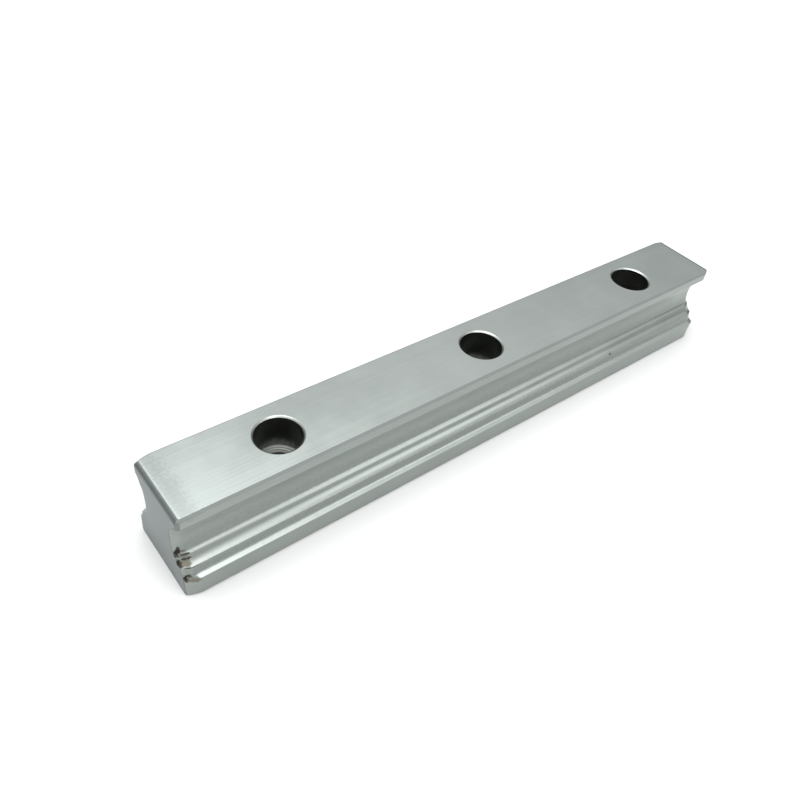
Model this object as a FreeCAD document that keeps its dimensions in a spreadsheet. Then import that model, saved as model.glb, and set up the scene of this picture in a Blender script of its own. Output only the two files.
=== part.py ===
import FreeCAD, Part
import math
import os

import Sketcher

# Profile rail for a recirculating-ball carriage: one hardened and ground steel bar.
# Millimetres. X runs along the rail, Z is up, the origin is the middle of the foot.

SIZES = (
    ("rail_length", "176"),
    ("base_width", "23"),
    ("base_side_height", "5.45"),
    ("foot_chamfer", "0.5"),
    ("shoulder_rise", "0.65"),
    ("ridge_lean", "0.4"),
    ("ridge_side_height", "2.11"),
    ("raceway_spacing", "22.12"),
    ("raceway_pitch", "7.68"),
    ("raceway_radius", "3"),
    ("raceway_outer_angle", "68"),
    ("raceway_inner_angle", "15"),
    ("relief_depth", "0.98"),
    ("waist_radius", "16"),
    ("head_side_height", "2.2"),
    ("head_chamfer_width", "0.5"),
    ("head_chamfer_height", "0.6"),
    ("end_lead_length", "1.8"),
    ("end_lead_depth", "1"),
    ("end_top_chamfer", "0.8"),
    ("hole_count", "3"),
    ("hole_pitch", "60"),
    ("hole_row_shift", "1"),
    ("bolt_hole_diameter", "7"),
    ("counterbore_diameter", "11"),
    ("seat_height", "15.2"),
    ("rim_chamfer", "0.5"),
)

# Height of the flat top above the foot: the sum of the steps of the flank.
TOP_HEIGHT = (
    "(Sizes.base_side_height + Sizes.shoulder_rise + Sizes.ridge_side_height"
    " + 2 * Sizes.raceway_radius * sin(Sizes.raceway_outer_angle)"
    " + Sizes.raceway_pitch + Sizes.head_side_height + Sizes.head_chamfer_height)"
)


def add_sheet(doc):
    sheet = doc.addObject("Spreadsheet::Sheet", "Sizes")
    for row, (alias, value) in enumerate(SIZES, start=1):
        sheet.set("A%d" % row, alias)
        sheet.set("B%d" % row, value)
        sheet.setAlias("B%d" % row, alias)
    doc.recompute()
    return sheet


def origin_item(body, role):
    for item in body.Origin.OriginFeatures:
        if item.Role == role:
            return item
    raise RuntimeError("no origin item " + role)


def add_sketch(body, name, role):
    sketch = body.newObject("Sketcher::SketchObject", name)
    sketch.AttachmentSupport = [(origin_item(body, role), "")]
    sketch.MapMode = "FlatFace"
    return sketch


def flank_points(sheet, inset):
    # Start points of the right flank, from the foot up to the flat top.
    half = sheet.base_width / 2 - inset
    centre = sheet.raceway_spacing / 2 - inset
    radius = sheet.raceway_radius
    outer = math.radians(sheet.raceway_outer_angle)
    inner = math.radians(sheet.raceway_inner_angle)
    edge = centre - radius * math.cos(outer)
    groove = centre - radius * math.cos(inner)
    neck = groove - sheet.relief_depth
    shoulder = sheet.base_side_height + sheet.shoulder_rise
    tip = shoulder + sheet.ridge_side_height
    low = tip + radius * math.sin(outer)
    high = low + sheet.raceway_pitch
    brow = high + radius * math.sin(outer)
    top = brow + sheet.head_side_height + sheet.head_chamfer_height
    points = [
        (half - sheet.foot_chamfer, 0),
        (half, sheet.foot_chamfer),
        (half, sheet.base_side_height),
        (edge + sheet.ridge_lean, shoulder),
        (edge, tip),
        (groove, low - radius * math.sin(inner)),
        (neck, low),
        (neck, high),
        (groove, high + radius * math.sin(inner)),
        (edge, brow),
        (edge, top - sheet.head_chamfer_height),
        (edge - sheet.head_chamfer_width, top),
    ]
    sag = sheet.waist_radius - math.sqrt(sheet.waist_radius ** 2 - (high - low) ** 2 / 4)
    diagonal = math.radians(45)
    middles = {
        4: (centre - radius * math.cos(diagonal), low - radius * math.sin(diagonal)),
        6: (neck - sag, (low + high) / 2),
        8: (centre - radius * math.cos(diagonal), high + radius * math.sin(diagonal)),
    }
    return points, middles


def draw_flank(sketch, points, middles, side):
    # Lines and arcs from one point to the next; the arcs run through their middles.
    def place(point):
        return FreeCAD.Vector(side * point[0], point[1], 0)

    items = []
    for index in range(len(points) - 1):
        start = place(points[index])
        end = place(points[index + 1])
        if index in middles:
            arc = Part.Arc(start, place(middles[index]), end)
            items.append(sketch.addGeometry(arc, False))
        else:
            items.append(sketch.addGeometry(Part.LineSegment(start, end), False))
    return items


def item_ends(sketch, item):
    # Point numbers (lower, upper) of a flank item: an arc of a sketch always runs
    # anticlockwise, so its first point may be the upper one. The shoulder and the
    # other lines keep the order in which they were drawn.
    if isinstance(sketch.Geometry[item], Part.LineSegment):
        return 1, 2
    rising = sketch.getPoint(item, 1).y < sketch.getPoint(item, 2).y
    return (1, 2) if rising else (2, 1)


def add_section(body, sheet, name, place, inset):
    # The rail section on a plane across the rail. "place" is the distance along the
    # rail, "inset" is how far each flank stands in from the full section.
    sketch = add_sketch(body, name, "YZ_Plane")
    sketch.setExpression("AttachmentOffset.Base.z", place)
    depth = sheet.end_lead_depth if inset else 0
    points, middles = flank_points(sheet, depth)
    right = draw_flank(sketch, points, middles, 1)
    left = draw_flank(sketch, points, middles, -1)
    foot_ends = [FreeCAD.Vector(side * points[0][0], points[0][1], 0) for side in (-1, 1)]
    foot = sketch.addGeometry(Part.LineSegment(*foot_ends), False)
    top_ends = [FreeCAD.Vector(side * points[-1][0], points[-1][1], 0) for side in (-1, 1)]
    top = sketch.addGeometry(Part.LineSegment(*top_ends), False)

    def fix(*values):
        return sketch.addConstraint(Sketcher.Constraint(*values))

    def drive(expression, *values):
        index = fix(*values)
        sketch.setExpression("Constraints[%d]" % index, expression)

    ends = {item: item_ends(sketch, item) for item in right + left}
    for flank in (right, left):
        for lower, upper in zip(flank, flank[1:]):
            fix("Coincident", lower, ends[lower][1], upper, ends[upper][0])
    fix("Coincident", foot, 1, left[0], 1)
    fix("Coincident", foot, 2, right[0], 1)
    fix("Coincident", top, 1, left[-1], 2)
    fix("Coincident", top, 2, right[-1], 2)

    # Both flanks are alike about the upright axis.
    for one, other in zip(right, left):
        fix("Symmetric", one, ends[one][0], other, ends[other][0], -2)
        if one in (right[4], right[6], right[8]):
            fix("Equal", one, other)
    fix("Symmetric", right[-1], 2, left[-1], 2, -2)

    (toe, base_side, shoulder, ridge_side, low_groove, low_step,
     waist, high_step, high_groove, head_side, crown) = right
    fix("PointOnObject", toe, 1, -1)
    fix("Vertical", base_side)
    fix("Vertical", head_side)
    taper = " - Sizes.end_lead_depth" if inset else ""
    half = sheet.base_width / 2 - depth
    centre = sheet.raceway_spacing / 2 - depth
    radius = sheet.raceway_radius
    drive("Sizes.base_width / 2" + taper, "DistanceX", -1, 1, base_side, 1, half)
    drive("Sizes.foot_chamfer", "DistanceX", toe, 1, toe, 2, sheet.foot_chamfer)
    drive("Sizes.foot_chamfer", "DistanceY", toe, 1, toe, 2, sheet.foot_chamfer)
    drive("Sizes.base_side_height", "DistanceY", -1, 1, shoulder, 1, sheet.base_side_height)
    drive("Sizes.shoulder_rise", "DistanceY", shoulder, 1, shoulder, 2, sheet.shoulder_rise)
    drive("Sizes.ridge_lean", "DistanceX", ridge_side, 2, ridge_side, 1, sheet.ridge_lean)
    drive("Sizes.ridge_side_height", "DistanceY", ridge_side, 1, ridge_side, 2,
          sheet.ridge_side_height)

    # The lower raceway, its relief step and the waist.
    outer = "Sizes.raceway_radius * cos(Sizes.raceway_outer_angle)"
    inner = "Sizes.raceway_radius * sin(Sizes.raceway_inner_angle)"
    outer_run = radius * math.cos(math.radians(sheet.raceway_outer_angle))
    inner_drop = radius * math.sin(math.radians(sheet.raceway_inner_angle))
    drive("Sizes.raceway_radius", "Radius", low_groove, radius)
    drive("Sizes.raceway_spacing / 2" + taper, "DistanceX", -1, 1, low_groove, 3, centre)
    drive(outer, "DistanceX", ridge_side, 2, low_groove, 3, outer_run)
    drive(inner, "DistanceY", low_step, 1, low_groove, 3, inner_drop)
    drive("Sizes.relief_depth", "DistanceX", low_step, 2, low_step, 1, sheet.relief_depth)
    fix("Horizontal", low_step, 2, low_groove, 3)
    drive("Sizes.waist_radius", "Radius", waist, sheet.waist_radius)

    # The upper raceway is the lower one turned over, one row pitch higher.
    fix("Equal", low_groove, high_groove)
    fix("Vertical", low_groove, 3, high_groove, 3)
    drive("Sizes.raceway_pitch", "DistanceY", low_groove, 3, high_groove, 3, sheet.raceway_pitch)
    fix("Vertical", low_step, 2, high_step, 1)
    fix("Horizontal", high_step, 1, high_groove, 3)
    fix("Vertical", low_step, 1, high_step, 2)
    fix("Vertical", ridge_side, 2, head_side, 1)

    # The head.
    drive("Sizes.head_side_height", "DistanceY", head_side, 1, head_side, 2,
          sheet.head_side_height)
    drive("Sizes.head_chamfer_width", "DistanceX", crown, 2, crown, 1, sheet.head_chamfer_width)
    drive("Sizes.head_chamfer_height", "DistanceY", crown, 1, crown, 2,
          sheet.head_chamfer_height)
    body.Document.recompute()
    return sketch


def edges_where(shape, wanted):
    names = []
    for number, edge in enumerate(shape.Edges, start=1):
        if wanted(edge):
            names.append("Edge%d" % number)
    return names


def add_chamfer(body, name, base, edges, size):
    chamfer = body.newObject("PartDesign::Chamfer", name)
    chamfer.Base = (base, edges)
    chamfer.setExpression("Size", size)
    body.Document.recompute()
    return chamfer


def build_rail(doc, sheet):
    body = doc.addObject("PartDesign::Body", "guide_rail")
    body.Label = "guide_rail"

    # The bar between the two lead-in ends.
    section = add_section(body, sheet, "RailSection", "0", False)
    bar = body.newObject("PartDesign::Pad", "Bar")
    bar.Profile = section
    bar.SideType = "Symmetric"
    bar.setExpression("Length", "Sizes.rail_length - 2 * Sizes.end_lead_length")
    doc.recompute()

    # Each end draws in to a smaller section, so that a carriage slides on easily.
    neck_place = "Sizes.rail_length / 2 - Sizes.end_lead_length"
    wide = add_section(body, sheet, "LeadInStart", neck_place, False)
    narrow = add_section(body, sheet, "LeadInEnd", "Sizes.rail_length / 2", True)
    lead = body.newObject("PartDesign::AdditiveLoft", "LeadIn")
    lead.Profile = wide
    lead.Sections = [narrow]
    lead.Ruled = True
    doc.recompute()
    both = body.newObject("PartDesign::Mirrored", "LeadInBothEnds")
    both.Originals = [lead]
    both.MirrorPlane = (origin_item(body, "YZ_Plane"), [""])
    body.Tip = both
    doc.recompute()

    top = both.Shape.BoundBox.ZMax
    reach = sheet.rail_length / 2

    def end_edge(edge):
        box = edge.BoundBox
        level = box.ZMin > top - 0.001
        return level and abs(abs(box.Center.x) - reach) < 0.001 and box.XLength < 0.001

    end_edges = edges_where(both.Shape, end_edge)
    ends = add_chamfer(body, "EndTopChamfer", both, end_edges, "Sizes.end_top_chamfer")

    # Counterbored screw holes in a row whose middle stands a little off the rail's.
    mark = add_sketch(body, "HoleMark", "XY_Plane")
    mark.setExpression("AttachmentOffset.Base.z", TOP_HEIGHT)
    first = (sheet.hole_count - 1) * sheet.hole_pitch / 2 - sheet.hole_row_shift
    ring = Part.Circle(FreeCAD.Vector(-first, 0, 0), FreeCAD.Vector(0, 0, 1), 1)
    circle = mark.addGeometry(ring, False)
    mark.addConstraint(Sketcher.Constraint("PointOnObject", circle, 3, -1))
    run = mark.addConstraint(Sketcher.Constraint("DistanceX", circle, 3, -1, 1, first))
    mark.setExpression("Constraints[%d]" % run,
                       "(Sizes.hole_count - 1) * Sizes.hole_pitch / 2 - Sizes.hole_row_shift")
    size = mark.addConstraint(Sketcher.Constraint("Diameter", circle, sheet.bolt_hole_diameter))
    mark.setExpression("Constraints[%d]" % size, "Sizes.bolt_hole_diameter")
    doc.recompute()
    before = ends.Shape.Volume
    hole = body.newObject("PartDesign::Hole", "ScrewHole")
    hole.Profile = mark
    doc.recompute()
    hole.ThreadType = "None"
    hole.DepthType = "ThroughAll"
    hole.HoleCutType = "Counterbore"
    hole.HoleCutCustomValues = True
    hole.setExpression("Diameter", "Sizes.bolt_hole_diameter")
    hole.setExpression("HoleCutDiameter", "Sizes.counterbore_diameter")
    hole.setExpression("HoleCutDepth", TOP_HEIGHT + " - Sizes.seat_height")
    doc.recompute()
    shank = math.pi / 4 * sheet.bolt_hole_diameter ** 2 * sheet.seat_height
    sink = math.pi / 4 * sheet.counterbore_diameter ** 2 * (top - sheet.seat_height)
    removed = before - hole.Shape.Volume
    if abs(removed - shank - sink) > 0.001 * before:
        raise RuntimeError("screw hole cut %.2f, expected %.2f" % (removed, shank + sink))

    row = body.newObject("PartDesign::LinearPattern", "HoleRow")
    row.Originals = [hole]
    row.Direction = (origin_item(body, "X_Axis"), [""])
    row.Mode = "Spacing"
    row.setExpression("Offset", "Sizes.hole_pitch")
    row.setExpression("Occurrences", "Sizes.hole_count")
    body.Tip = row
    doc.recompute()

    def rim_edge(edge):
        round_edge = isinstance(edge.Curve, Part.Circle)
        return round_edge and edge.BoundBox.ZMin > top - 0.001

    rims = edges_where(row.Shape, rim_edge)
    if len(rims) != round(sheet.hole_count):
        raise RuntimeError("rims found: %d" % len(rims))
    body.Tip = add_chamfer(body, "RimChamfer", row, rims, "Sizes.rim_chamfer")
    doc.recompute()
    return body


def check(doc, bodies):
    for item in doc.Objects:
        if "Invalid" in item.State or "Error" in item.State:
            raise RuntimeError(item.Name + " failed to build")
    for body in bodies:
        if body.Shape.isNull() or not body.Shape.isValid():
            raise RuntimeError(body.Label + " has no valid shape")
        if len(body.Shape.Solids) != 1:
            raise RuntimeError(body.Label + " is not one solid")


def main():
    doc = FreeCAD.newDocument("guide_rail")
    sheet = add_sheet(doc)
    bodies = [build_rail(doc, sheet)]
    check(doc, bodies)
    os.makedirs("parts", exist_ok=True)
    for body in bodies:
        body.Shape.exportStep("parts/%s.step" % body.Label)
        box = body.Shape.BoundBox
        print("%s %.2f x %.2f x %.2f mm, %.1f mm3" % (
            body.Label, box.XLength, box.YLength, box.ZLength, body.Shape.Volume))


main()
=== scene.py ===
"""Looks of a profile linear guide rail: one ground steel bar lying on a pale studio floor.

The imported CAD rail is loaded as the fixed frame. The rail piece stands for it with rounded edges,
worn ends and the finishes of the steel. Lengths are in metres in the CAD frame, unless a comment
says millimetres: X runs along the rail, Z is up, and the end nearest to the camera is at -X.
"""

import math

import bmesh
import bpy
from mathutils import Matrix, Vector, noise


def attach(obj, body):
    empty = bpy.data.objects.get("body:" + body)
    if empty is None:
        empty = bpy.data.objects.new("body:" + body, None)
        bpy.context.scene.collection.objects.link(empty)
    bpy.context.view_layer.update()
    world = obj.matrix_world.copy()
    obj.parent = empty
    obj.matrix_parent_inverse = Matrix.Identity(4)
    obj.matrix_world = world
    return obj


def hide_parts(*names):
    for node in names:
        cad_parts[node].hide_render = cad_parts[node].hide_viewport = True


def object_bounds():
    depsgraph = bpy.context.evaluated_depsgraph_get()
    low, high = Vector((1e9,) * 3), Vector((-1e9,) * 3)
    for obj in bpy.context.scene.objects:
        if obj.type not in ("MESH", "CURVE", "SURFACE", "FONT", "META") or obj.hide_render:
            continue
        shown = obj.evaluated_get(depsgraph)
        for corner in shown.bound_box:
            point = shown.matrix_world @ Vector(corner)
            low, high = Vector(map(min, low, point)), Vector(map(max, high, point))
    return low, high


bl_info = {
    "name": "Profile Guide Rail",
    "version": (1, 0, 0),
    "blender": (4, 5, 0),
    "location": "3D View > Sidebar > Guide Rail",
    "description": "Builds a ground steel guide rail, its finishes, floor, light and camera",
    "category": "Mesh",
}

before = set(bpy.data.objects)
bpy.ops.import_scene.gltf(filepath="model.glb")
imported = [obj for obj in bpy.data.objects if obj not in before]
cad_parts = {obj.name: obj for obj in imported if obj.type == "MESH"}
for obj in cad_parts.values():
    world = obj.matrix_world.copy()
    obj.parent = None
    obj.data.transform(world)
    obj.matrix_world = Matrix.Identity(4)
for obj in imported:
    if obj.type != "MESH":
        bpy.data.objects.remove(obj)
CAD_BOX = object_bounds()

MM = 0.001

# Finishes of the rail, in the order of its material slots.
FINISHES = ("ground", "raceway", "shoulder", "drawn", "cut", "edge", "bore", "seat", "rust")

# How far the normal of a face turns along the rail on an end face and on a lead-in, and how far it
# turns up on the flat top and on any level face.
END_TURN, LEAD_TURN = 0.6, 0.2
TOP_TURN, LEVEL_TURN = 0.9, 0.8

# Height of the band of the waist under the upper groove that takes the paler shoulder steel:
# painted light that lifts the shade under the head.
PAINTED_LIGHT_WAIST = 2.2 * MM

# Distances below which points count as level with each other, as one point, as lying on a cut, and
# as a sliver.
LEVEL_GAP = 1e-6
MERGE_GAP = 1e-7
CUT_GAP = 1e-8
SLIVER = 0.003 * MM

# Steps of the arcs of a groove and of the waist.
GROOVE_STEPS, WAIST_STEPS = 6, 16

# Long corners that turn more than this are rounded, and the bar is split into short lengths.
SHARP_CORNER = math.radians(25)
BAR_CUTS = 23

# Distances from an end face at which the ends draw in, from the bar outwards.
END_RUNS = [run * MM for run in (5, 3.8, 3.4, 2.8, 2.5, 2.2, 1.6, 1, 0.5, 0.2, 0.1, 0.03, 0)]

# Depth, reach and curve of the head's four corners, by end and side: the ends were ground off by
# hand, each corner a little differently.
HEAD_CORNERS = {(-1, -1): (0.5 * MM, 1.6 * MM, 1.6), (-1, 1): (1.2 * MM, 5 * MM, 2),
                (1, -1): (1.25 * MM, 2.5 * MM, 1), (1, 1): (0.9 * MM, 2.5 * MM, 1)}

# The same for the foot's upper corners, and for its lower corners.
FOOT_CORNERS = {(-1, -1): (2 * MM, 3.4 * MM, 1.4), (-1, 1): (1.1 * MM, 2.2 * MM, 1),
                (1, -1): (0.7 * MM, 1.8 * MM, 1), (1, 1): (0.5 * MM, 1.6 * MM, 1)}
HEEL_CORNERS = {(-1, -1): (1.1 * MM, 3.4 * MM, 1.4), (-1, 1): (0.6 * MM, 2.2 * MM, 1),
                (1, -1): (1.2 * MM, 2 * MM, 1), (1, 1): (0.3 * MM, 1.6 * MM, 1)}

# Screw holes: the broken edge between seat and through hole, the softness of the rim, and the rings
# of the cutter on the seat, as millimetres out from the through hole and up from the seat.
SEAT_BREAK = 0.35 * MM
RIM_SOFT = 0.08 * MM
SEAT_RINGS = ((0.55, 0), (0.75, -0.12), (0.95, 0), (1.25, 0), (1.45, -0.12), (1.65, 0))

# The turned cutter of a hole: how far it stands out of the bar, its sides, its turn, and the slopes
# of its faces that count as walls of a ring.
CUTTER_CLEAR = 2 * MM
CUTTER_SIDES = 96
CUTTER_TURN = 0.02
RING_WALL = (0.75, 0.99)

# Rust at the lower corner of one end: centres and half sizes in millimetres of the pits that it ate
# into the ends of the groove and the shoulder.
RUST_PITS = (((-87.3, -6.6, 10.8), (0.7, 0.4, 0.6)), ((-87.9, -8.0, 9.0), (0.4, 0.6, 0.9)),
             ((-87.4, -9.8, 5.5), (0.5, 0.45, 0.6)))

# How strongly noise swells a pit, its least swell, the lumps across it, and a shift per metre that
# makes each pit different.
PIT_SWELL, PIT_LEAST, PIT_LUMPS, PIT_SHIFT = 0.5, 0.4, 1.8, 900

# Stains on the steel, and painted shade among them: centre and half sizes in millimetres, and the
# turn about Z in degrees. The dirt follows the edges of the drawn-in end, with one fleck on the
# ridge of the far half; its dark mark under the head's corner at that end is a painted shadow. The
# rust film lies on the facets of that end. Old oil dulls the top by it and the surroundings of the
# fleck, and has dried on the seats of the counterbores. The long bands over the lower waist and the
# corner at the foot of the ridge, along the whole rail, are painted shade in the hollows of the
# flanks.
DIRT_AND_PAINTED_SHADE = (((-87.0, -6.6, 11.3), (0.5, 0.6, 0.9), -24),
             ((-87.5, -7.1, 10.4), (0.7, 0.6, 0.45), -24),
             ((-86.0, -7.8, 10.45), (1.7, 0.35, 0.22), -16),
             ((-86.2, -8.25, 9.6), (1.25, 0.4, 0.3), -22),
             ((-87.6, -8.3, 9.0), (0.5, 1.0, 1.1), 0),
             ((-85.9, -9.7, 8.1), (1.7, 0.35, 0.15), -12),
             ((-86.7, -9.9, 6.0), (0.75, 0.5, 0.45), -24),
             ((-87.4, -10.1, 4.9), (0.35, 0.7, 1.0), 0),
             # A painted shadow under the head's corner at the near end.
             ((-87.3, -9.2, 21.3), (1.2, 0.8, 0.25), 0),
             ((47.4, -9.8, 8.2), (0.36, 0.3, 0.26), 0))
RUST_FILM = (((-86.6, -8.8, 8.9), (1.2, 1.1, 0.95), -24),
             ((-86.0, -10.6, 5.1), (1.6, 1.1, 0.9), -24))
# After the spot on the top, the four long bands are painted shade in the hollows of the flanks; the
# last spot is oil round the fleck.
OIL_AND_PAINTED_SHADE = (((-85.2, -4, 24.25), (2.4, 14, 1), 0), ((0, -10.2, 7.2), (200, 1.1, 1.2), 0),
            ((0, 10.2, 7.2), (200, 1.1, 1.2), 0), ((0, -7, 11.6), (200, 0.7, 1.9), 0),
            ((0, 7, 11.6), (200, 0.7, 1.9), 0), ((47.4, -9.8, 8.1), (1.5, 0.9, 0.9), 0))
SEAT_OIL = (((-59, 0, 15.2), (9, 9, 1.7), 0), ((1, 0, 15.2), (9, 9, 1.3), 0),
            ((61, 0, 15.2), (9, 9, 1.3), 0))

# Softness of the edges of dirt, rust film and oil, and of the painted shade among them, the
# strength of the noise that tears them, and where between the centre and the far surroundings of a
# stain its edge lies.
DIRT_AND_SHADE_SOFT, FILM_SOFT, OIL_AND_SHADE_SOFT = 0.18, 0.3, 0.8
STAIN_TEAR, STAIN_EDGE = 2.6, 2.2

# Looks of the stains: strength and darkness of the oil film and of the painted shade that it lays
# in the flank hollows, and the roughness of rust and dirt.
OIL_AND_SHADE_STRENGTH, OIL_AND_SHADE_TONE = 0.4, 0.55
STAIN_ROUGHNESS = 0.75

# Sizes of the patterns: patches of uneven gloss, ragged edges of stains, and grains of rust.
GLOSS_PATCH = 14 * MM
STAIN_GRAIN = 0.9 * MM
RUST_GRAIN = 0.35 * MM

# Spread of the roughness between patches and between tool lines, the weight of the lines beside the
# patches in the shade of the steel, and the darkest and the palest shade.
PATCH_GLOSS, LINE_GLOSS = 0.05, 0.03
LINE_WEIGHT = 0.28
SHADES = (0.93, 1.07)

# How metallic the oily seats and the matt broken edges look.
SEAT_METAL = 0.35
EDGE_METAL = 0.3

# Brightness of the studio from the horizon to the zenith, by the sine of the height, and the way
# up, which leans a little across the rail.
SKY = ((0.0, 0.16), (0.17, 0.2), (0.33, 0.48), (0.47, 0.74), (0.56, 0.95), (0.64, 1.12),
       (0.7, 1.17), (0.755, 1.17), (0.79, 2.3), (0.83, 2.6), (0.88, 2.4), (0.955, 1.9))
SKY_UP = (0, 0.03, 1)

# The brightest part of the ceiling hangs over the near end only: the way to the far end, how far a
# direction points that way where the limit begins and where it is full, and the greatest heights
# that are looked up there.
SKY_FAR = (1, -0.3, 0)
SKY_LIMIT = {"From Min": 0.27, "From Max": 0.42, "To Min": 0.96, "To Max": 0.745}

# Soft lights around the rail: name, place, width and height in metres, and brightness. All of them
# are aimed at one point.
SOFT_LIGHTS = (("tall_soft_light", (0.56, -0.84, 0.55), 0.46, 0.7, 1.9),
               ("near_soft_light", (0.25, -0.95, 0.36), 0.45, 0.5, 0.8),
               ("side_lamp", (-0.02, -0.58, 0.9), 0.36, 0.56, 3.0),
               ("far_soft_light", (0.95, -0.58, 0.38), 0.4, 0.6, 0.45),
               ("overhead_light", (-0.11, 0.04, 0.62), 0.3, 0.3, 6.1))
LIGHT_AIM = Vector((0, 0, 0.02))

# How far the floor reaches each way.
FLOOR_REACH = 4

# The camera, fitted to the photo: its image and its focal length in pixels, its sensor and its
# place in millimetres, the angles of its view in degrees, and the nearest distance that it sees.
IMAGE_PIXELS = 800
FOCAL_PIXELS = 770.5
SENSOR_WIDTH = 36
CAMERA_PLACE = (-119.83, -100.57, 145.67)
CAMERA_HEADING, CAMERA_PITCH, CAMERA_ROLL = 46.568, 42.795, 8.138
CAMERA_CLIP = 0.01


def linear(hex_colour):
    """An sRGB hex colour as linear red, green and blue."""
    channels = [int(hex_colour[i:i + 2], 16) / 255 for i in (1, 3, 5)]
    return [c / 12.92 if c <= 0.04045 else ((c + 0.055) / 1.055) ** 2.4 for c in channels]


def length(name, description, millimetres):
    """A length property with its default in millimetres."""
    return bpy.props.FloatProperty(
        name=name, description=description, default=millimetres * MM, min=0, precision=5,
        unit="LENGTH")


def colour(name, description, hex_colour):
    """A colour property with its default as an sRGB hex value."""
    return bpy.props.FloatVectorProperty(
        name=name, description=description, default=linear(hex_colour), size=3, min=0, max=1,
        subtype="COLOR")


class RailShape(bpy.types.PropertyGroup):
    """Sizes of the rail."""

    bar_length: length("Length", "From end face to end face",
                       (CAD_BOX[1].x - CAD_BOX[0].x) / MM)
    foot_width: length("Foot width", "Across the foot", (CAD_BOX[1].y - CAD_BOX[0].y) / MM)
    foot_side: length("Foot side", "Height of the upright foot side", 5.45)
    foot_chamfer: length("Foot chamfer", "Chamfer of the lower long edges", 0.5)
    shoulder_rise: length("Shoulder rise", "Climb of the shoulder towards the ridge", 0.65)
    ridge_lean: length("Ridge lean", "How far the ridge side leans in", 0.4)
    ridge_side: length("Ridge side", "Height of the ridge side above the shoulder", 2.11)
    raceway_spacing: length("Raceway spacing", "Across the raceway centres", 22.12)
    raceway_pitch: length("Raceway pitch", "Height between the raceway centres", 7.68)
    raceway_radius: length("Raceway radius", "Radius of the ball grooves", 3)
    raceway_outer: bpy.props.FloatProperty(
        name="Groove start", description="Angle at which a groove meets the ridge or the head",
        default=math.radians(68), subtype="ANGLE")
    raceway_inner: bpy.props.FloatProperty(
        name="Groove end", description="Angle at which a groove meets its relief step",
        default=math.radians(15), subtype="ANGLE")
    relief: length("Relief step", "Depth of the step between groove and waist", 0.98)
    waist_radius: length("Waist radius", "Radius of the hollow flank", 16)
    head_side: length("Head side", "Upright side of the head", 2.2)
    chamfer_width: length("Chamfer width", "Chamfer of the long top edges, across", 0.65)
    chamfer_height: length("Chamfer height", "Chamfer of the long top edges, down", 0.6)
    lead_depth: length("Lead-in depth", "How far the flanks draw in at the ends", 1)
    lead_reach: length("Lead-in reach", "How far from the end the flanks start to draw in", 2.2)
    end_chamfer: length("End chamfer", "Chamfer of the top edge at each end", 0.8)
    fillet: length("Fillet", "Width of the rounding in the hollow corners of the flanks", 0.8)
    step_round: length("Step rounding", "Width of the rounding between groove and relief step", 0.4)
    end_round: length("End rounding", "How far an end chamfer fades into its neighbours", 0.25)
    brow_round: length("Brow rounding", "Width of the rounding under the head", 0.06)
    edge_round: length("Edge rounding", "Width of the rounding on every sharp edge", 0.2)
    hole_pitch: length("Hole pitch", "Between the screw holes", 60)
    hole_shift: length("Hole shift", "Middle of the hole row from the middle of the rail", 1)
    hole_radius: length("Hole radius", "Radius of the through holes", 3.5)
    sink_radius: length("Counterbore radius", "Radius of the counterbores", 5.5)
    seat_height: length("Seat height", "Screw seat above the floor", 15.2)
    rim_chamfer: length("Rim chamfer", "Chamfer round each counterbore", 0.34)


class RailFinish(bpy.types.PropertyGroup):
    """Colours of the steel and the stage."""

    ground: colour("Ground steel", "Surface-ground top", "#A5ACA9")
    groove: colour("Raceway steel", "Fine-ground ball grooves and head sides", "#969C98")
    # On the upper waist this paler steel is painted light that lifts the shade under the head.
    shoulder: colour("Shoulder steel", "Coarser ground shoulders and upper waist", "#9FA6A3")
    flank: colour("Drawn steel", "Drawn waist and sides", "#979D99")
    cut: colour("Cut steel", "Sawn and deburred ends", "#7C8382")
    edge: colour("Deburred steel", "Broken long edges of the head", "#727775")
    bore: colour("Drilled steel", "Walls of the holes", "#5B5D59")
    seat: colour("Spot-faced steel", "Screw seats in the holes", "#7A7E79")
    # Also the colour of a painted shadow under the head's corner at the near end.
    rust_dark: colour("Dark rust", "Old rust and oil residue", "#36352C")
    rust_brown: colour("Brown rust", "Grains in the rust pits", "#564A39")
    rust_tan: colour("Pale rust", "Thin rust film", "#6F6C60")
    floor: colour("Floor", "Matt studio floor", "#CFD0D0")


def new_object(name, bm):
    """A mesh object at the origin, with the shape's place in its mesh."""
    mesh = bpy.data.meshes.new(name)
    bm.to_mesh(mesh)
    bm.free()
    piece = bpy.data.objects.new(name, mesh)
    bpy.context.scene.collection.objects.link(piece)
    return piece


def add_node(tree, kind, inputs, **settings):
    """Adds a node, sets it up and feeds its sockets from values or from other sockets."""
    node = tree.nodes.new(kind)
    for name, value in settings.items():
        setattr(node, name, value)
    for socket, value in inputs.items():
        if isinstance(value, bpy.types.NodeSocket):
            tree.links.new(value, node.inputs[socket])
        else:
            node.inputs[socket].default_value = value
    return node


def new_material(name):
    """An empty material and its node tree."""
    material = bpy.data.materials.new(name)
    material.use_nodes = True
    material.node_tree.nodes.clear()
    return material, material.node_tree


class Levels:
    """Heights and half widths of the section's break lines, from the sizes."""

    def __init__(self, shape):
        radius = shape.raceway_radius
        rise = radius * math.sin(shape.raceway_outer)
        step = radius * math.sin(shape.raceway_inner)
        self.across = shape.raceway_spacing / 2
        self.edge = self.across - radius * math.cos(shape.raceway_outer)
        self.groove = self.across - radius * math.cos(shape.raceway_inner)
        self.neck = self.groove - shape.relief
        self.shoulder = shape.foot_side + shape.shoulder_rise
        self.tip = self.shoulder + shape.ridge_side
        self.low = self.tip + rise
        self.high = self.low + shape.raceway_pitch
        self.low_step = self.low - step
        self.high_step = self.high + step
        self.brow = self.high + rise
        self.land = self.brow + shape.head_side
        self.top = self.land + shape.chamfer_height


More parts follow.
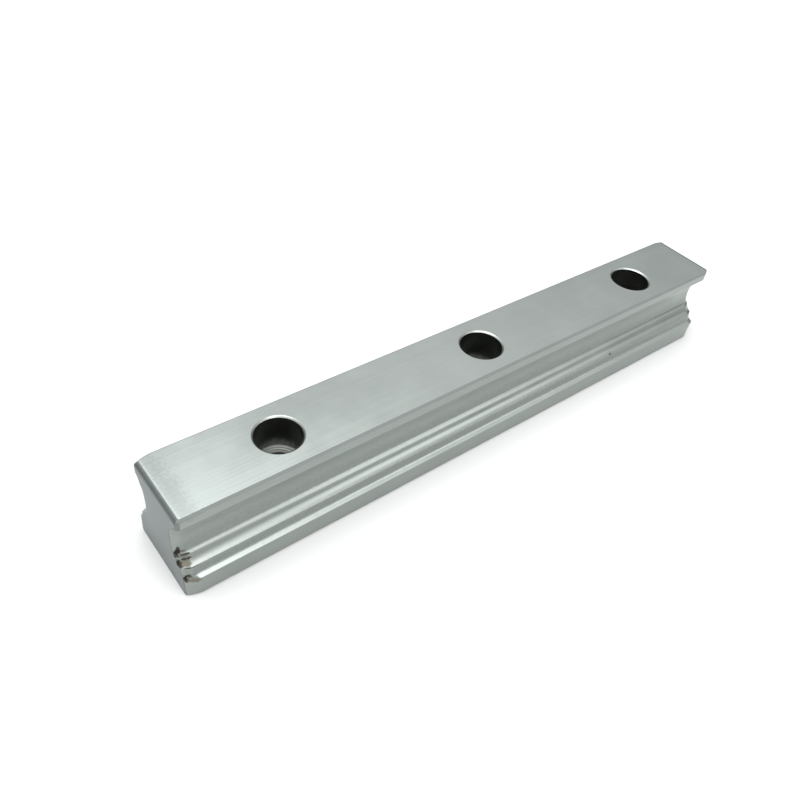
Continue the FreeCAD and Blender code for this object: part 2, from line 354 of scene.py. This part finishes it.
def draw_section(bm, shape, at):
    """The rail section as one closed wire in the YZ plane, from a half and its mirror image."""
    half = shape.foot_width / 2
    sweep = shape.raceway_inner - shape.raceway_outer
    waist_reach = math.sqrt(shape.waist_radius ** 2 - shape.raceway_pitch ** 2 / 4)
    waist_sweep = -2 * math.asin(shape.raceway_pitch / 2 / shape.waist_radius)

    def join(last, y, z):
        vert = bm.verts.new((0, y, z))
        if last is not None:
            bm.edges.new((last, vert))
        return vert

    def swing(last, y, z, angle, steps):
        made = bmesh.ops.spin(bm, geom=[last], cent=(0, y, z), axis=(1, 0, 0), angle=angle,
                              steps=steps, dvec=(0, 0, 0))
        return next(v for v in made["geom_last"] if isinstance(v, bmesh.types.BMVert))

    vert = join(None, 0, 0)
    for y, z in ((half - shape.foot_chamfer, 0), (half, shape.foot_chamfer),
                 (half, shape.foot_side), (at.edge + shape.ridge_lean, at.shoulder),
                 (at.edge, at.tip)):
        vert = join(vert, y, z)
    vert = swing(vert, at.across, at.low, sweep, GROOVE_STEPS)
    vert = join(vert, at.neck, at.low)
    vert = swing(vert, at.neck + waist_reach, (at.low + at.high) / 2, waist_sweep, WAIST_STEPS)
    vert = join(vert, at.groove, at.high_step)
    vert = swing(vert, at.across, at.high, sweep, GROOVE_STEPS)
    for y, z in ((at.edge, at.land), (at.edge - shape.chamfer_width, at.top), (0, at.top)):
        vert = join(vert, y, z)
    bmesh.ops.mirror(bm, geom=bm.verts[:] + bm.edges[:], matrix=Matrix.Identity(4),
                     merge_dist=MERGE_GAP, axis="Y")


def end_inset(shape, at, end, side, height, run):
    """How far a flank point has drawn in, at a distance from the end face."""

    def drawn(depth, reach, curve=1):
        return depth * max(0, 1 - run / reach) ** curve

    def between(low, low_inset, high, high_inset):
        share = min(1, max(0, (height - low) / (high - low)))
        return low_inset + (high_inset - low_inset) * share

    lead = drawn(shape.lead_depth, shape.lead_reach)
    foot = drawn(*FOOT_CORNERS[end, side])
    if height > at.high_step:
        inset = between(at.high_step, lead, at.brow, drawn(*HEAD_CORNERS[end, side]))
    elif height > shape.foot_side:
        inset = between(shape.foot_side, foot, at.shoulder, lead)
    else:
        inset = between(shape.foot_chamfer, drawn(*HEEL_CORNERS[end, side]), shape.foot_side, foot)
    burr = max(0, shape.edge_round - run)
    return inset + shape.edge_round - math.sqrt(shape.edge_round ** 2 - burr ** 2)


def round_edges(bm, shape, at):
    """Rounds the long edges: hollow corners, relief steps, the brow, and then every sharp edge."""
    steps = (at.low_step, at.high_step)
    roundings = ((-1, shape.fillet, 5, None), (1, shape.step_round, 5, steps),
                 (1, shape.brow_round, 2, (at.brow,)), (1, shape.edge_round, 3, None))
    for turn, width, segments, heights in roundings:
        edges = [e for e in bm.edges if not e.is_boundary
                 and turn * e.calc_face_angle_signed() > SHARP_CORNER
                 and (heights is None
                      or min(abs(e.verts[0].co.z - z) for z in heights) < LEVEL_GAP)]
        bmesh.ops.bevel(bm, geom=edges, offset=width, offset_type="OFFSET", affect="EDGES",
                        segments=segments, profile=0.5, material=-1, clamp_overlap=True)
        # A rounding that reaches the next line of the section leaves a sliver without width.
        bmesh.ops.remove_doubles(bm, verts=bm.verts[:], dist=SLIVER)


def draw_ends(bm, rims, shape, at):
    """Carries the bar's rims on to both end faces, draws them in on the way and closes them."""
    for end in (-1, 1):
        loop = [e for e in rims if e.verts[0].co.x * end > 0]
        for run, next_run in zip(END_RUNS, END_RUNS[1:]):
            made = bmesh.ops.extrude_edge_only(bm, edges=loop)["geom"]
            loop = [g for g in made if isinstance(g, bmesh.types.BMEdge)]
            for vert in (g for g in made if isinstance(g, bmesh.types.BMVert)):
                side = 1 if vert.co.y > 0 else -1
                vert.co.x += end * (run - next_run)
                if abs(vert.co.y) > LEVEL_GAP:
                    vert.co.y -= side * (
                        end_inset(shape, at, end, side, vert.co.z, next_run)
                        - end_inset(shape, at, end, side, vert.co.z, run))
    bmesh.ops.holes_fill(bm, edges=[e for e in bm.edges if e.is_boundary], sides=0)


def chamfer_ends(bm, shape, at):
    """Chamfers the top edge of each end, with a flatter cut on each side that rounds it."""
    half = shape.bar_length / 2
    faded = shape.end_chamfer + shape.end_round
    for end in (-1, 1):
        for tilt, back, down in ((22.5, faded, 0), (67.5, 0, faded), (45, shape.end_chamfer, 0)):
            out = math.radians(tilt)
            cut = bmesh.ops.bisect_plane(
                bm, geom=bm.verts[:] + bm.edges[:] + bm.faces[:], dist=CUT_GAP, clear_outer=True,
                plane_co=(end * (half - back), 0, at.top - down),
                plane_no=(end * math.sin(out), 0, math.cos(out)))["geom_cut"]
            bmesh.ops.contextual_create(
                bm, geom=[g for g in cut if isinstance(g, bmesh.types.BMEdge)])


def bar_finish(face, shape, at):
    """The finish of the band of the bar that a face lies in."""
    height = face.calc_center_median().z
    along, across, up = (abs(part) for part in face.normal)
    if along > END_TURN:
        return "cut"
    if height > at.land and face.normal.z < TOP_TURN:
        return "edge" if across > along else "cut"
    if along > LEAD_TURN and height > at.shoulder:
        return "raceway" if height < at.brow else "cut"
    if at.tip < height < at.low or at.high < height < at.land:
        return "raceway"
    # The band of the upper waist takes the paler shoulder steel as painted light against the shade
    # under the head.
    if shape.foot_side < height < at.shoulder or at.high - PAINTED_LIGHT_WAIST < height <= at.high:
        return "shoulder"
    return "ground" if up > LEVEL_TURN else "drawn"


def draw_bar(bm, shape, at):
    """Pulls the section along the rail, rounds its long edges and finishes its ends."""
    draw_section(bm, shape, at)
    bar_end = shape.bar_length / 2 - END_RUNS[0]
    bmesh.ops.translate(bm, verts=bm.verts[:], vec=(-bar_end, 0, 0))
    made = bmesh.ops.extrude_edge_only(bm, edges=bm.edges[:])["geom"]
    bmesh.ops.translate(bm, verts=[g for g in made if isinstance(g, bmesh.types.BMVert)],
                        vec=(2 * bar_end, 0, 0))
    bmesh.ops.recalc_face_normals(bm, faces=bm.faces[:])
    round_edges(bm, shape, at)
    # Short lengths of bar shade more cleanly than slivers from end to end.
    rims = [e for e in bm.edges if e.is_boundary]
    bmesh.ops.subdivide_edges(bm, edges=[e for e in bm.edges if not e.is_boundary],
                              cuts=BAR_CUTS, use_grid_fill=True)
    draw_ends(bm, rims, shape, at)
    chamfer_ends(bm, shape, at)
    bmesh.ops.recalc_face_normals(bm, faces=bm.faces[:])
    for face in bm.faces:
        face.material_index = FINISHES.index(bar_finish(face, shape, at))


def draw_screw_hole(bm, shape, at, x):
    """A turned cutter for one screw hole: shank, seat with tool rings, counterbore and rim."""
    rings = [(shape.hole_radius + out * MM, shape.seat_height + lift * MM)
             for out, lift in SEAT_RINGS]
    rim = shape.sink_radius + shape.rim_chamfer
    roof = at.top + 2 * CUTTER_CLEAR
    # The last slopes meet the top at a shallow angle, so that the rim has no hard edge.
    profile = [(0, -CUTTER_CLEAR), (shape.hole_radius, -CUTTER_CLEAR),
               (shape.hole_radius, shape.seat_height - SEAT_BREAK),
               (shape.hole_radius + SEAT_BREAK, shape.seat_height), *rings,
               (shape.sink_radius, shape.seat_height),
               (shape.sink_radius, at.top - shape.rim_chamfer),
               (rim - RIM_SOFT, at.top - 1.3 * RIM_SOFT),
               (rim + RIM_SOFT, at.top - 0.1 * RIM_SOFT),
               (rim + RIM_SOFT + 10 * CUTTER_CLEAR, roof), (0, roof)]
    verts = [bm.verts.new((x + r, 0, z)) for r, z in profile]
    edges = [bm.edges.new(pair) for pair in zip(verts, verts[1:])]
    bmesh.ops.spin(bm, geom=verts + edges, cent=(x, 0, 0), axis=(0, 0, 1), angle=math.tau,
                   steps=CUTTER_SIDES, dvec=(0, 0, 0), use_merge=True)
    bmesh.ops.remove_doubles(bm, verts=bm.verts[:], dist=MERGE_GAP)
    bmesh.ops.recalc_face_normals(bm, faces=bm.faces[:])
    # A small turn keeps the cutter's points off the bar's middle line, where the cut would tear.
    bmesh.ops.rotate(bm, verts=bm.verts[:], cent=(x, 0, 0),
                     matrix=Matrix.Rotation(CUTTER_TURN, 3, "Z"))
    for face in bm.faces:
        height = face.calc_center_median().z
        finish = "bore"
        if height > at.top - shape.rim_chamfer:
            # The chamfer of the rim was cut with a fine tool and gleams like the raceways.
            finish = "raceway"
        elif abs(height - shape.seat_height) < SEAT_BREAK:
            # The walls of the rings hold dark oil, and the rest of the seat is paler.
            ring = RING_WALL[0] < abs(face.normal.z) < RING_WALL[1]
            finish = "bore" if ring else "seat"
        face.material_index = FINISHES.index(finish)


def draw_pit(bm, centre, size):
    """A rough lump that bites a rust pit out of the steel."""
    bmesh.ops.create_icosphere(bm, subdivisions=4, radius=1)
    for vert in bm.verts:
        bumps = noise.fractal(vert.co * PIT_LUMPS + centre * PIT_SHIFT, 1, 2, 3)
        swell = max(PIT_LEAST, 1 + PIT_SWELL * bumps)
        vert.co = centre + Vector(a * b * swell for a, b in zip(vert.co, size))
    for face in bm.faces:
        face.material_index = FINISHES.index("rust")


def cut_away(piece, cutter):
    """Takes the cutter's shape out of the piece and removes the cutter."""
    step = piece.modifiers.new("Cut", "BOOLEAN")
    step.operation = "DIFFERENCE"
    step.solver = "EXACT"
    step.object = cutter
    bpy.context.view_layer.update()
    result = piece.evaluated_get(bpy.context.evaluated_depsgraph_get())
    mesh = bpy.data.meshes.new_from_object(result)
    piece.modifiers.remove(step)
    old = piece.data
    piece.data = mesh
    bpy.data.meshes.remove(old)
    bpy.data.objects.remove(cutter)


def stain_mask(tree, place, spots, softness):
    """How strongly a point is stained or painted with shade, from 0 to 1, by its nearness to any of
    the spots.
    """
    nearest = None
    for centre, size, turn in spots:
        inside = add_node(tree, "ShaderNodeMapping", {
            "Vector": place, "Location": [c * MM for c in centre],
            "Rotation": (0, 0, math.radians(turn)), "Scale": [r * MM for r in size]},
            vector_type="TEXTURE")
        reach = add_node(tree, "ShaderNodeVectorMath", {0: inside.outputs["Vector"]},
                         operation="LENGTH").outputs["Value"]
        if nearest is not None:
            reach = add_node(tree, "ShaderNodeMath", {0: nearest, 1: reach},
                             operation="MINIMUM").outputs["Value"]
        nearest = reach
    ragged = add_node(tree, "ShaderNodeTexNoise", {
        "Vector": place, "Scale": 1 / STAIN_GRAIN, "Detail": 5.0, "Roughness": 0.7})
    torn = add_node(tree, "ShaderNodeMath",
                    {0: ragged.outputs["Fac"], 1: STAIN_TEAR, 2: nearest},
                    operation="MULTIPLY_ADD").outputs["Value"]
    return add_node(tree, "ShaderNodeMapRange", {
        "Value": torn, "From Min": STAIN_EDGE - softness, "From Max": STAIN_EDGE + softness,
        "To Min": 1.0, "To Max": 0.0}, interpolation_type="SMOOTHSTEP").outputs["Result"]


def steel(name, finish, base, roughness, grain, relief, stained_and_shaded=False, metal=1.0, oiled=False):
    """A bare steel finish: lines of the given size, uneven gloss, and stains and painted shade
    where they sit.

    The grain is the length, width and height of one tool line in millimetres, and the relief is its
    depth. Real tool lines are hundredths of a millimetre wide, too fine to show, so they are drawn
    0.25 to 1 mm wide."""
    material, tree = new_material(name)
    place = add_node(tree, "ShaderNodeTexCoord", {}).outputs["Object"]
    stretch = add_node(tree, "ShaderNodeMapping", {
        "Vector": place, "Scale": [1 / (size * MM) for size in grain]})
    lines = add_node(tree, "ShaderNodeTexNoise", {
        "Vector": stretch.outputs["Vector"], "Scale": 1.0, "Detail": 1.0, "Roughness": 0.5})
    clouds = add_node(tree, "ShaderNodeTexNoise", {
        "Vector": place, "Scale": 1 / GLOSS_PATCH, "Detail": 4.0, "Roughness": 0.55})
    gloss = add_node(tree, "ShaderNodeMapRange", {
        "Value": clouds.outputs["Fac"], "From Min": 0.3, "From Max": 0.7,
        "To Min": roughness - PATCH_GLOSS, "To Max": roughness + PATCH_GLOSS})
    rough = add_node(tree, "ShaderNodeMath", {
        0: lines.outputs["Fac"], 1: LINE_GLOSS, 2: gloss.outputs["Result"]},
        operation="MULTIPLY_ADD").outputs["Value"]
    streaks = add_node(tree, "ShaderNodeMath", {
        0: lines.outputs["Fac"], 1: LINE_WEIGHT, 2: clouds.outputs["Fac"]},
        operation="MULTIPLY_ADD")
    dark, pale = ([shade * c for c in base] for shade in SHADES)
    tint = add_node(tree, "ShaderNodeMapRange", {
        "Vector": streaks.outputs["Value"], "From Min": (0.34,) * 3, "From Max": (0.94,) * 3,
        "To Min": dark, "To Max": pale}, data_type="FLOAT_VECTOR").outputs["Vector"]
    if stained_and_shaded:
        film = stain_mask(tree, place, RUST_FILM, FILM_SOFT)
        dirt_and_shade = stain_mask(tree, place, DIRT_AND_PAINTED_SHADE, DIRT_AND_SHADE_SOFT)
        # The oil film also darkens the flank hollows along the whole rail as painted shade.
        smear_and_shade = add_node(tree, "ShaderNodeMath", {
            0: stain_mask(tree, place, OIL_AND_PAINTED_SHADE, OIL_AND_SHADE_SOFT), 1: OIL_AND_SHADE_STRENGTH},
            operation="MULTIPLY")
        tint = add_node(tree, "ShaderNodeMix", {
            "Factor": smear_and_shade.outputs["Value"], "A": tint,
            "B": [*(OIL_AND_SHADE_TONE * c for c in base), 1]},
            data_type="RGBA").outputs["Result"]
        tint = add_node(tree, "ShaderNodeMix", {
            "Factor": film, "A": tint, "B": (*finish.rust_tan, 1)},
            data_type="RGBA").outputs["Result"]
        # The dirt also paints a shadow under the head's corner at the near end.
        tint = add_node(tree, "ShaderNodeMix", {
            "Factor": dirt_and_shade, "A": tint, "B": (*finish.rust_dark, 1)},
            data_type="RGBA").outputs["Result"]
        cover = add_node(tree, "ShaderNodeMath", {0: film, 1: dirt_and_shade}, operation="MAXIMUM")
        metal = add_node(tree, "ShaderNodeMath", {0: 1.0, 1: cover.outputs["Value"]},
                         operation="SUBTRACT").outputs["Value"]
        rough = add_node(tree, "ShaderNodeMix", {
            "Factor": cover.outputs["Value"], "A": rough,
            "B": STAIN_ROUGHNESS}).outputs["Result"]
    if oiled:
        film = stain_mask(tree, place, SEAT_OIL, OIL_AND_SHADE_SOFT)
        tint = add_node(tree, "ShaderNodeMix", {
            "Factor": film, "A": tint, "B": (*finish.seat, 1)},
            data_type="RGBA").outputs["Result"]
        metal = add_node(tree, "ShaderNodeMath", {0: film, 1: SEAT_METAL - 1, 2: 1.0},
                         operation="MULTIPLY_ADD").outputs["Value"]
    bump = add_node(tree, "ShaderNodeBump", {
        "Height": lines.outputs["Fac"], "Strength": 0.25, "Distance": relief * MM})
    shader = add_node(tree, "ShaderNodeBsdfPrincipled", {
        "Base Color": tint, "Metallic": metal, "Roughness": rough,
        "Normal": bump.outputs["Normal"]})
    add_node(tree, "ShaderNodeOutputMaterial", {"Surface": shader.outputs["BSDF"]})
    return material


def rusted_pit(finish):
    """Old rust in a pit: matt, crumbly, nearly black with brown grains."""
    material, tree = new_material("old_iron_rust")
    place = add_node(tree, "ShaderNodeTexCoord", {}).outputs["Object"]
    grains = add_node(tree, "ShaderNodeTexNoise", {
        "Vector": place, "Scale": 1 / RUST_GRAIN, "Detail": 5.0, "Roughness": 0.7})
    ramp = add_node(tree, "ShaderNodeMapRange", {
        "Value": grains.outputs["Fac"], "From Min": 0.45, "From Max": 0.75})
    tint = add_node(tree, "ShaderNodeMix", {
        "Factor": ramp.outputs["Result"], "A": (*finish.rust_dark, 1),
        "B": (*finish.rust_brown, 1)}, data_type="RGBA")
    bump = add_node(tree, "ShaderNodeBump", {
        "Height": grains.outputs["Fac"], "Strength": 0.6, "Distance": 0.15 * MM})
    shader = add_node(tree, "ShaderNodeBsdfPrincipled", {
        "Base Color": tint.outputs["Result"], "Roughness": 0.85,
        "Normal": bump.outputs["Normal"]})
    add_node(tree, "ShaderNodeOutputMaterial", {"Surface": shader.outputs["BSDF"]})
    return material


class RAIL_OT_build_rail(bpy.types.Operator):
    """Build the rail with its holes, ends, rust pits and steel finishes"""

    bl_idname = "rail.build_rail"
    bl_label = "Build Rail"

    def execute(self, context):
        shape = context.scene.rail_shape
        finish = context.scene.rail_finish
        at = Levels(shape)
        materials = (
            # Surface grinding leaves fine bright lines along the bar and a silky gloss.
            steel("surface_ground_steel", finish, finish.ground, 0.17, (90, 0.7, 0.7), 0.02, True),
            # The ball tracks are ground finest and mirror the light in clean bands.
            steel("fine_ground_raceway_steel", finish, finish.groove, 0.31, (90, 0.6, 0.6), 0.01,
                  True),
            # The shoulders are ground with a coarser wheel and are less glossy. The same paler
            # steel on the upper waist is painted light that lifts the shade under the head.
            steel("rough_ground_and_painted_light_steel", finish, finish.shoulder, 0.33, (90, 0.7, 0.7), 0.02, True),
            # Cold drawing leaves the waist and the sides duller, with soft lines along the bar.
            steel("cold_drawn_steel", finish, finish.flank, 0.35, (60, 0.9, 0.9), 0.02, True),
            # The ends were parted off and ground by hand, so they are dull and a little darker.
            steel("abrasive_cut_steel", finish, finish.cut, 0.42, (3, 3, 0.35), 0.02, True),
            # The long edges were broken with a stone, so they are matt under a film of old oil.
            steel("stone_deburred_steel", finish, finish.edge, 0.6, (30, 0.6, 0.6), 0.01,
                  metal=EDGE_METAL),
            # The drilled walls kept a dark skin with rings of the drill, oily towards the seats.
            steel("oiled_drilled_steel", finish, finish.bore, 0.38, (2, 2, 0.25), 0.03,
                  oiled=True),
            # The spot-faced seats are dull under dried oil, with rings of the cutter.
            steel("spot_faced_steel", finish, finish.seat, 0.4, (1, 1, 1), 0.02,
                  metal=SEAT_METAL),
            rusted_pit(finish))

        def shaped(name, bm):
            piece = new_object(name, bm)
            for material in materials:
                piece.data.materials.append(material)
            return piece

        bm = bmesh.new()
        draw_bar(bm, shape, at)
        rail = shaped("rail", bm)
        for number in (-1, 0, 1):
            bm = bmesh.new()
            draw_screw_hole(bm, shape, at, shape.hole_shift + number * shape.hole_pitch)
            cut_away(rail, shaped("hole_cutter", bm))
        for centre, size in RUST_PITS:
            bm = bmesh.new()
            draw_pit(bm, Vector(centre) * MM, Vector(size) * MM)
            cut_away(rail, shaped("pit_cutter", bm))
        for polygon in rail.data.polygons:
            polygon.use_smooth = True
        rail.data.set_sharp_from_angle(angle=math.radians(40))
        normals = rail.modifiers.new("Face normals", "WEIGHTED_NORMAL")
        normals.keep_sharp = True
        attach(rail, "root")
        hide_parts("guide_rail")
        return {"FINISHED"}


class RAIL_OT_build_stage(bpy.types.Operator):
    """Lay the floor and set up the light and the camera"""

    bl_idname = "rail.build_stage"
    bl_label = "Build Stage"

    def execute(self, context):
        scene = context.scene
        finish = scene.rail_finish
        bm = bmesh.new()
        bmesh.ops.create_grid(bm, x_segments=1, y_segments=1, size=FLOOR_REACH)
        floor = new_object("floor", bm)
        material, tree = new_material("matt_studio_floor")
        shader = add_node(tree, "ShaderNodeBsdfPrincipled",
                          {"Base Color": (*finish.floor, 1), "Roughness": 0.9})
        add_node(tree, "ShaderNodeOutputMaterial", {"Surface": shader.outputs["BSDF"]})
        floor.data.materials.append(material)

        # A bright soft ceiling over a dark room, brightest high above the near end of the rail.
        world = bpy.data.worlds.new("studio")
        world.use_nodes = True
        tree = world.node_tree
        tree.nodes.clear()
        way = add_node(tree, "ShaderNodeTexCoord", {}).outputs["Generated"]
        height = add_node(tree, "ShaderNodeVectorMath", {0: way, 1: SKY_UP},
                          operation="DOT_PRODUCT").outputs["Value"]
        along = add_node(tree, "ShaderNodeVectorMath", {0: way, 1: SKY_FAR},
                         operation="DOT_PRODUCT").outputs["Value"]
        lid = add_node(tree, "ShaderNodeMapRange", {"Value": along, **SKY_LIMIT})
        height = add_node(tree, "ShaderNodeMath", {0: height, 1: lid.outputs["Result"]},
                          operation="MINIMUM").outputs["Value"]
        ramp = add_node(tree, "ShaderNodeValToRGB", {"Fac": height})
        bands = ramp.color_ramp.elements
        while len(bands) < len(SKY):
            bands.new(0.5)
        for band, (place, value) in zip(bands, SKY):
            band.position = place
            band.color = (value, value, value, 1)
        glow = add_node(tree, "ShaderNodeBackground", {"Color": ramp.outputs["Color"],
                                                        "Strength": 1.0})
        add_node(tree, "ShaderNodeOutputWorld", {"Surface": glow.outputs["Background"]})
        scene.world = world
        scene.view_settings.view_transform = "Standard"

        for name, place, width, tall, brightness in SOFT_LIGHTS:
            light = bpy.data.lights.new(name, "AREA")
            light.shape = "RECTANGLE"
            light.size, light.size_y = width, tall
            light.energy = brightness * math.pi * width * tall
            lamp = bpy.data.objects.new(name, light)
            scene.collection.objects.link(lamp)
            aim = (LIGHT_AIM - Vector(place)).to_track_quat("-Z", "Y")
            lamp.matrix_world = Matrix.LocRotScale(Vector(place), aim, None)

        camera = bpy.data.objects.new("camera", bpy.data.cameras.new("camera"))
        scene.collection.objects.link(camera)
        camera.data.sensor_width = SENSOR_WIDTH
        camera.data.lens = SENSOR_WIDTH * FOCAL_PIXELS / IMAGE_PIXELS
        camera.data.clip_start = CAMERA_CLIP
        heading = math.radians(CAMERA_HEADING)
        pitch = math.radians(CAMERA_PITCH)
        roll = math.radians(CAMERA_ROLL)
        forward = Vector((math.cos(pitch) * math.cos(heading),
                          math.cos(pitch) * math.sin(heading), -math.sin(pitch)))
        level = Vector((math.sin(heading), -math.cos(heading), 0))
        right = level * math.cos(roll) + level.cross(forward) * math.sin(roll)
        turn = Matrix((right, right.cross(forward), -forward)).transposed()
        camera.matrix_world = Matrix.LocRotScale(
            Vector(CAMERA_PLACE) * MM, turn.to_quaternion(), None)
        scene.camera = camera
        return {"FINISHED"}


class RAIL_PT_panel(bpy.types.Panel):
    """Sizes, finishes and build steps of the rail"""

    bl_idname = "RAIL_PT_panel"
    bl_label = "Guide Rail"
    bl_space_type = "VIEW_3D"
    bl_region_type = "UI"
    bl_category = "Guide Rail"

    def draw(self, context):
        for step in (RAIL_OT_build_rail, RAIL_OT_build_stage):
            self.layout.operator(step.bl_idname)
        for group in (context.scene.rail_shape, context.scene.rail_finish):
            column = self.layout.column()
            for name in group.__annotations__:
                column.prop(group, name)


CLASSES = (RailShape, RailFinish, RAIL_OT_build_rail, RAIL_OT_build_stage, RAIL_PT_panel)


def register():
    for item in CLASSES:
        bpy.utils.register_class(item)
    bpy.types.Scene.rail_shape = bpy.props.PointerProperty(type=RailShape)
    bpy.types.Scene.rail_finish = bpy.props.PointerProperty(type=RailFinish)


def unregister():
    del bpy.types.Scene.rail_finish
    del bpy.types.Scene.rail_shape
    for item in reversed(CLASSES):
        bpy.utils.unregister_class(item)


def main():
    register()
    bpy.ops.rail.build_rail()
    bpy.ops.rail.build_stage()


if __name__ == "__main__":
    main()
